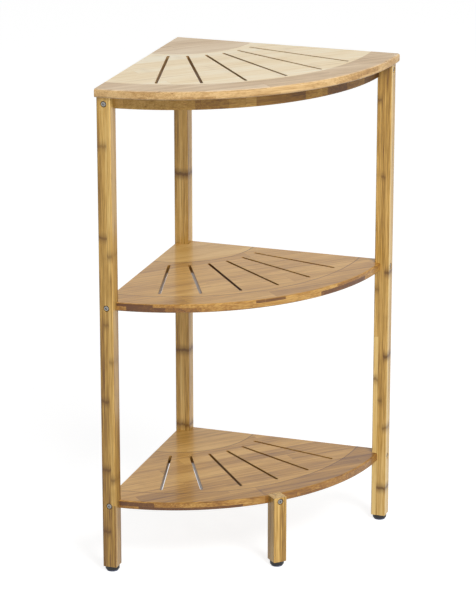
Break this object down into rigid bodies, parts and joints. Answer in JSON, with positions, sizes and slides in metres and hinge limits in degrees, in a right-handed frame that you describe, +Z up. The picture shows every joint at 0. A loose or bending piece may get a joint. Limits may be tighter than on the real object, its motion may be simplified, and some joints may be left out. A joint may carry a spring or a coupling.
{
  "type": "corner shelf unit",
  "caption": "Free-standing quarter-round bamboo corner shelf with slotted tiers, a curved apron, long corner legs, a short front leg and levelling feet.",
  "frame": {"origin": "on the floor, under the middle of the square that the top fits in", "axes": "+Z up; the left wall is the plane at -X, the back wall is the plane at +Y, and the curved front faces +X and -Y"},
  "size_m": [0.33, 0.33, 0.697],
  "materials": {
    "bamboo_field": "varnished",
    "bamboo_rim": "varnished",
    "bamboo_apron": "varnished",
    "bamboo_leg": "varnished",
    "bolt_steel": "satin",
    "zinc_steel": "satin",
    "screw_steel": "satin",
    "pad": "matte",
    "glide": "matte"
  },
  "bodies": {
    "shelf_frame": {"apron_screws": "screw_steel", "back_foot_insert": "zinc_steel", "back_leg": "bamboo_leg", "back_leg_bolts": "bolt_steel", "back_leg_inserts": "zinc_steel", "bottom_corner_block": "bamboo_rim", "bottom_rim_left": "bamboo_rim", "bottom_rim_right": "bamboo_rim", "bottom_rim_spline": "bamboo_rim", "bottom_slotted_panel": "bamboo_field", "cleat_screws": "screw_steel", "front_foot_insert": "zinc_steel", "front_leg": "bamboo_leg", "front_leg_bolts": "bolt_steel", "front_leg_inserts": "zinc_steel", "left_foot_insert": "zinc_steel", "left_leg": "bamboo_leg", "left_leg_bolts": "bolt_steel", "left_leg_inserts": "zinc_steel", "middle_corner_block": "bamboo_rim", "middle_rim_left": "bamboo_rim", "middle_rim_right": "bamboo_rim", "middle_rim_spline": "bamboo_rim", "middle_slotted_panel": "bamboo_field", "right_foot_insert": "zinc_steel", "right_leg": "bamboo_leg", "right_leg_bolts": "bolt_steel", "right_leg_inserts": "zinc_steel", "top_apron": "bamboo_apron", "top_corner_block": "bamboo_rim", "top_corner_cleat": "bamboo_apron", "top_rim_left": "bamboo_rim", "top_rim_right": "bamboo_rim", "top_rim_spline": "bamboo_rim", "top_slotted_panel": "bamboo_field"},
    "left_foot": {"left_foot_stud": "zinc_steel", "left_foot_pad": "pad", "left_foot_glide": "glide"},
    "right_foot": {"right_foot_stud": "zinc_steel", "right_foot_pad": "pad", "right_foot_glide": "glide"},
    "back_foot": {"back_foot_stud": "zinc_steel", "back_foot_pad": "pad", "back_foot_glide": "glide"},
    "front_foot": {"front_foot_stud": "zinc_steel", "front_foot_pad": "pad", "front_foot_glide": "glide"}
  },
  "joints": [
    {"name": "left_foot_height", "type": "slide", "parent": "shelf_frame", "child": "left_foot", "axis": [0, 0, -1], "range_m": [0, 0.01]},
    {"name": "right_foot_height", "type": "slide", "parent": "shelf_frame", "child": "right_foot", "axis": [0, 0, -1], "range_m": [0, 0.01]},
    {"name": "back_foot_height", "type": "slide", "parent": "shelf_frame", "child": "back_foot", "axis": [0, 0, -1], "range_m": [0, 0.01]},
    {"name": "front_foot_height", "type": "slide", "parent": "shelf_frame", "child": "front_foot", "axis": [0, 0, -1], "range_m": [0, 0.01]}
  ]
}
